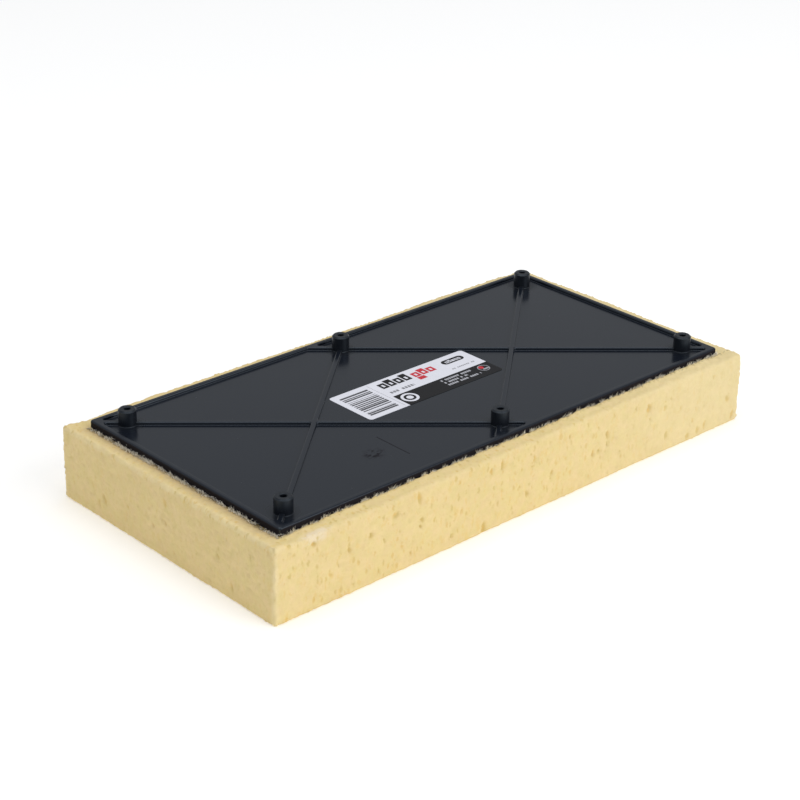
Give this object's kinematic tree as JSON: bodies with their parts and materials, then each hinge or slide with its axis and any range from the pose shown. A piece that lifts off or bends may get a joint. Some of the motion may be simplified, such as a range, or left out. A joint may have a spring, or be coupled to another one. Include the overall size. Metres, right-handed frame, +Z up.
{
  "type": "sponge float pad",
  "caption": "Foam block glued under a ribbed backing plate with screw bosses: the replaceable pad of a grout washing float.",
  "frame": {"origin": "centre of the sponge's working face", "axes": "+X along the length, +Y across the width, +Z up through the plate towards the screw bosses"},
  "size_m": [0.34, 0.172, 0.0516],
  "materials": {
    "foam": "open-cell foam, dull",
    "glue": "cloudy white contact glue",
    "plate_plastic": "black, glossy as moulded",
    "label_paper": "printed self-adhesive film, satin"
  },
  "bodies": {
    "root": {"sponge_pad": "foam", "glue_film": "glue", "backing_plate": "plate_plastic", "label": "label_paper"}
  },
  "joints": []
}
